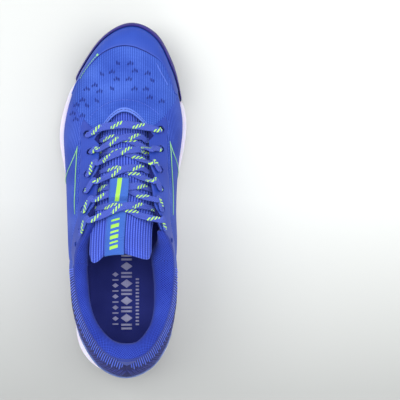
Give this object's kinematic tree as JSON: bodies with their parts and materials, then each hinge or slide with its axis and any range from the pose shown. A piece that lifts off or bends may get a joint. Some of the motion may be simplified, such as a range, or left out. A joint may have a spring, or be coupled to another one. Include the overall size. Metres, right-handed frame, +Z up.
{
  "type": "court shoe",
  "caption": "Low-cut court shoe for the left foot: cupped foam midsole, rubber outsole, layered mesh upper, padded collar and tongue, flat lace and a removable sockliner.",
  "frame": {"origin": "centre of the bounding box in plan, at the level of the floor it stands on", "axes": "+Z up, +Y toward the toe, -X toward the outer (lateral) side of this left shoe"},
  "size_m": [0.1034, 0.2951, 0.1168],
  "materials": {
    "outsole_rubber": "matte rubber with a moulded tread",
    "shank_plastic": "moulded plastic, satin",
    "midsole_foam": "foamed EVA with a fine painted grain",
    "bumper_rubber": "matte moulded rubber",
    "board_fibre": "needled fibre board",
    "mesh_blue": "ribbed engineered mesh",
    "mesh_navy": "ribbed engineered mesh, navy",
    "film_blue": "welded film over the mesh, satin",
    "heel_film": "welded film with printed pale hatch lines",
    "clip_plastic": "cloudy light blue moulded plastic",
    "tab_film": "raised film tab",
    "accent_lime": "raised lime film line",
    "stiffener": "thermoformed sheet",
    "backer_film": "reinforcing film",
    "lining_navy": "dark mesh lining",
    "padding_foam": "open cell foam",
    "lining_knit": "fine ribbed knit lining",
    "lace_weave": "flat woven lace with lime flecks",
    "aglet_plastic": "clear plastic tip",
    "tongue_knit": "ribbed knit",
    "label_strip": "coated tape with a lime print",
    "sockliner_foam": "moulded foam",
    "sockliner_cloth": "brushed cloth with a pale print"
  },
  "bodies": {
    "shoe": {"outsole_forefoot": "outsole_rubber", "outsole_heel": "outsole_rubber", "shank_plate": "shank_plastic", "midsole": "midsole_foam", "toe_bumper": "bumper_rubber", "strobel_board": "board_fibre", "vamp": "mesh_blue", "quarter_lateral": "mesh_blue", "quarter_medial": "mesh_blue", "heel_panel": "mesh_navy", "toe_cap": "film_blue", "eyestay_lateral": "film_blue", "eyestay_medial": "film_blue", "heel_cover": "heel_film", "heel_clip": "clip_plastic", "heel_tab": "tab_film", "accent_line_lateral": "accent_lime", "accent_line_medial": "accent_lime", "toe_puff": "stiffener", "heel_counter": "stiffener", "eyelet_backer_lateral": "backer_film", "eyelet_backer_medial": "backer_film", "vamp_lining": "lining_navy", "collar_foam": "padding_foam", "collar_lining": "lining_knit", "lace": "lace_weave", "aglets": "aglet_plastic", "tongue_cover": "tongue_knit", "tongue_foam": "padding_foam", "tongue_lining": "lining_navy", "lace_keeper": "label_strip"},
    "tongue_tip": {"tongue_tip_cover": "tongue_knit", "tongue_tip_foam": "padding_foam", "tongue_tip_lining": "lining_navy", "tongue_label": "label_strip"},
    "sockliner": {"sockliner_foam": "sockliner_foam", "sockliner_cover": "sockliner_cloth"}
  },
  "joints": [
    {"name": "tongue_tip_flex", "type": "hinge", "parent": "shoe", "child": "tongue_tip", "pos_m": [0, -0.0296, 0.099], "axis": [-1, 0, 0], "range_deg": [-8, 18], "stiffness_Nm_per_rad": 0.05},
    {"name": "sockliner_lift", "type": "hinge", "parent": "shoe", "child": "sockliner", "pos_m": [0, 0.1375, 0.024], "axis": [-1, 0, 0], "range_deg": [0, 4]}
  ]
}
